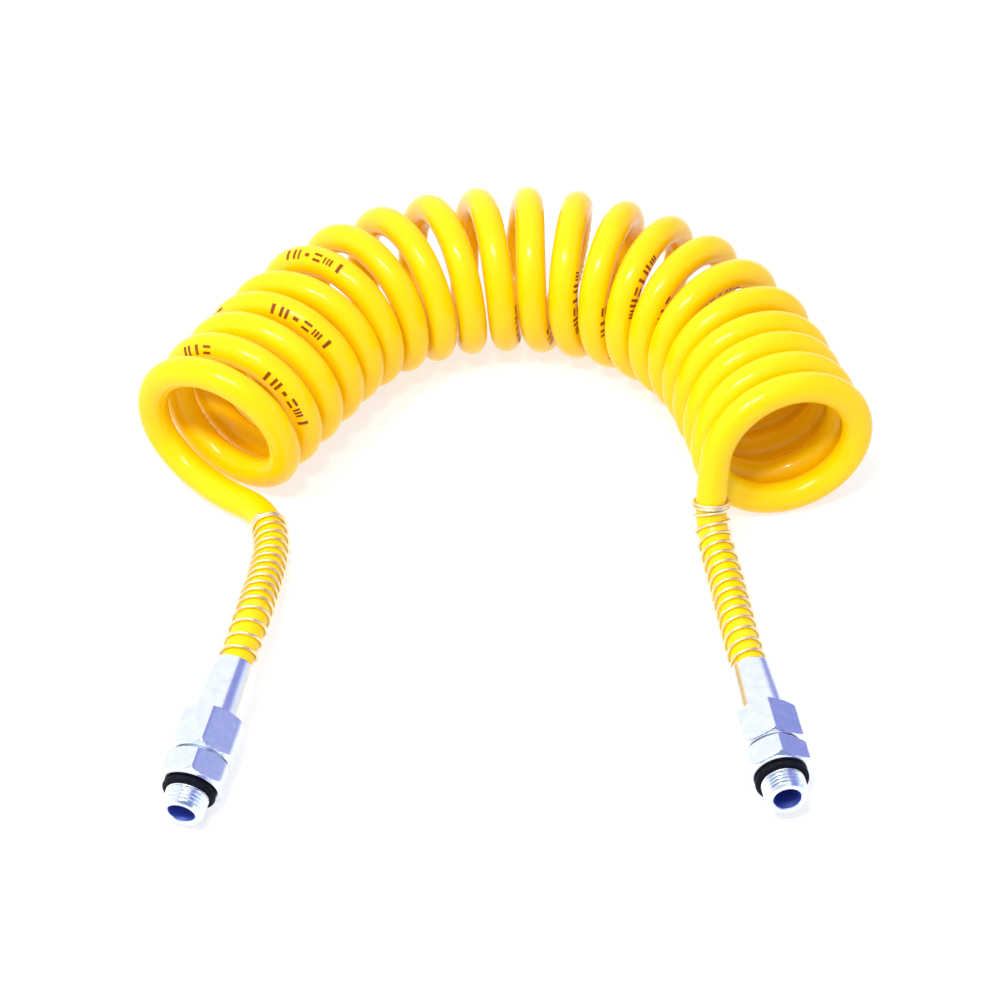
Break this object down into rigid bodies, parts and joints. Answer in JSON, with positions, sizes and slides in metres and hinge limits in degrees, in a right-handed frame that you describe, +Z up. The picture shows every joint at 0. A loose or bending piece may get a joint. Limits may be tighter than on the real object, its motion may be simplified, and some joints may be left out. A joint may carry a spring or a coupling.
{
  "type": "coiled air hose",
  "caption": "Coiled polyurethane air hose bent into an arch, with two spring-guarded tails that end in compression fittings with male port threads.",
  "frame": {"origin": "middle of the footprint, on the ground the hose lies on", "axes": "+Y from the fittings towards the top of the arch, the longest extent; +X from the left fitting to the right one; +Z up, the shortest extent"},
  "size_m": [0.2812, 0.3198, 0.0686],
  "materials": {
    "hose": "glossy, slightly translucent yellow polyurethane",
    "zinc_steel": "bright blue-white zinc plating on turned steel",
    "spring_wire": "bright plated spring wire",
    "black_rubber": "matt nitrile rubber",
    "brass": "turned brass"
  },
  "bodies": {
    "coil_left": {"hose_coil_left_bend": "hose", "hose_coil_left_end": "hose", "hose_tail_left": "hose", "hose_end_left": "hose", "stud_left": "zinc_steel", "port_oring_left": "black_rubber", "olive_left": "brass", "hose_insert_left": "brass"},
    "guard_left": {"spring_guard_left": "spring_wire"},
    "nut_left": {"union_nut_left": "zinc_steel"},
    "coil_right": {"hose_coil_right_bend": "hose", "hose_coil_right_end": "hose", "hose_tail_right": "hose", "hose_end_right": "hose", "stud_right": "zinc_steel", "port_oring_right": "black_rubber", "olive_right": "brass", "hose_insert_right": "brass"},
    "guard_right": {"spring_guard_right": "spring_wire"},
    "nut_right": {"union_nut_right": "zinc_steel"}
  },
  "joints": [
    {"name": "coil_stretch", "type": "slide", "parent": "coil_left", "child": "coil_right", "axis": [1, 0, 0], "range_m": [0, 0.45], "stiffness_N_per_m": 8},
    {"name": "left_nut_travel", "type": "slide", "parent": "coil_left", "child": "guard_left", "axis": [0.2363, 0.9548, 0.1805], "range_m": [0, 0.0075], "deforming": ["spring_guard_left"]},
    {"name": "left_nut_turn", "type": "hinge", "parent": "guard_left", "child": "nut_left", "pos_m": [-0.1075, -0.12807, 0.01593], "axis": [0.2363, 0.9548, 0.1805], "range_deg": [0, 1810]},
    {"name": "right_nut_travel", "type": "slide", "parent": "coil_right", "child": "guard_right", "axis": [-0.1478, 0.989, 0], "range_m": [0, 0.0075], "deforming": ["spring_guard_right"]},
    {"name": "right_nut_turn", "type": "hinge", "parent": "guard_right", "child": "nut_right", "pos_m": [0.09422, -0.1212, 0.01271], "axis": [-0.1478, 0.989, 0], "range_deg": [0, 1810]}
  ],
  "couplings": [
    {"joint": "left_nut_turn", "follows": "left_nut_travel", "rad_per_m": 4188.8},
    {"joint": "right_nut_turn", "follows": "right_nut_travel", "rad_per_m": 4188.8}
  ]
}
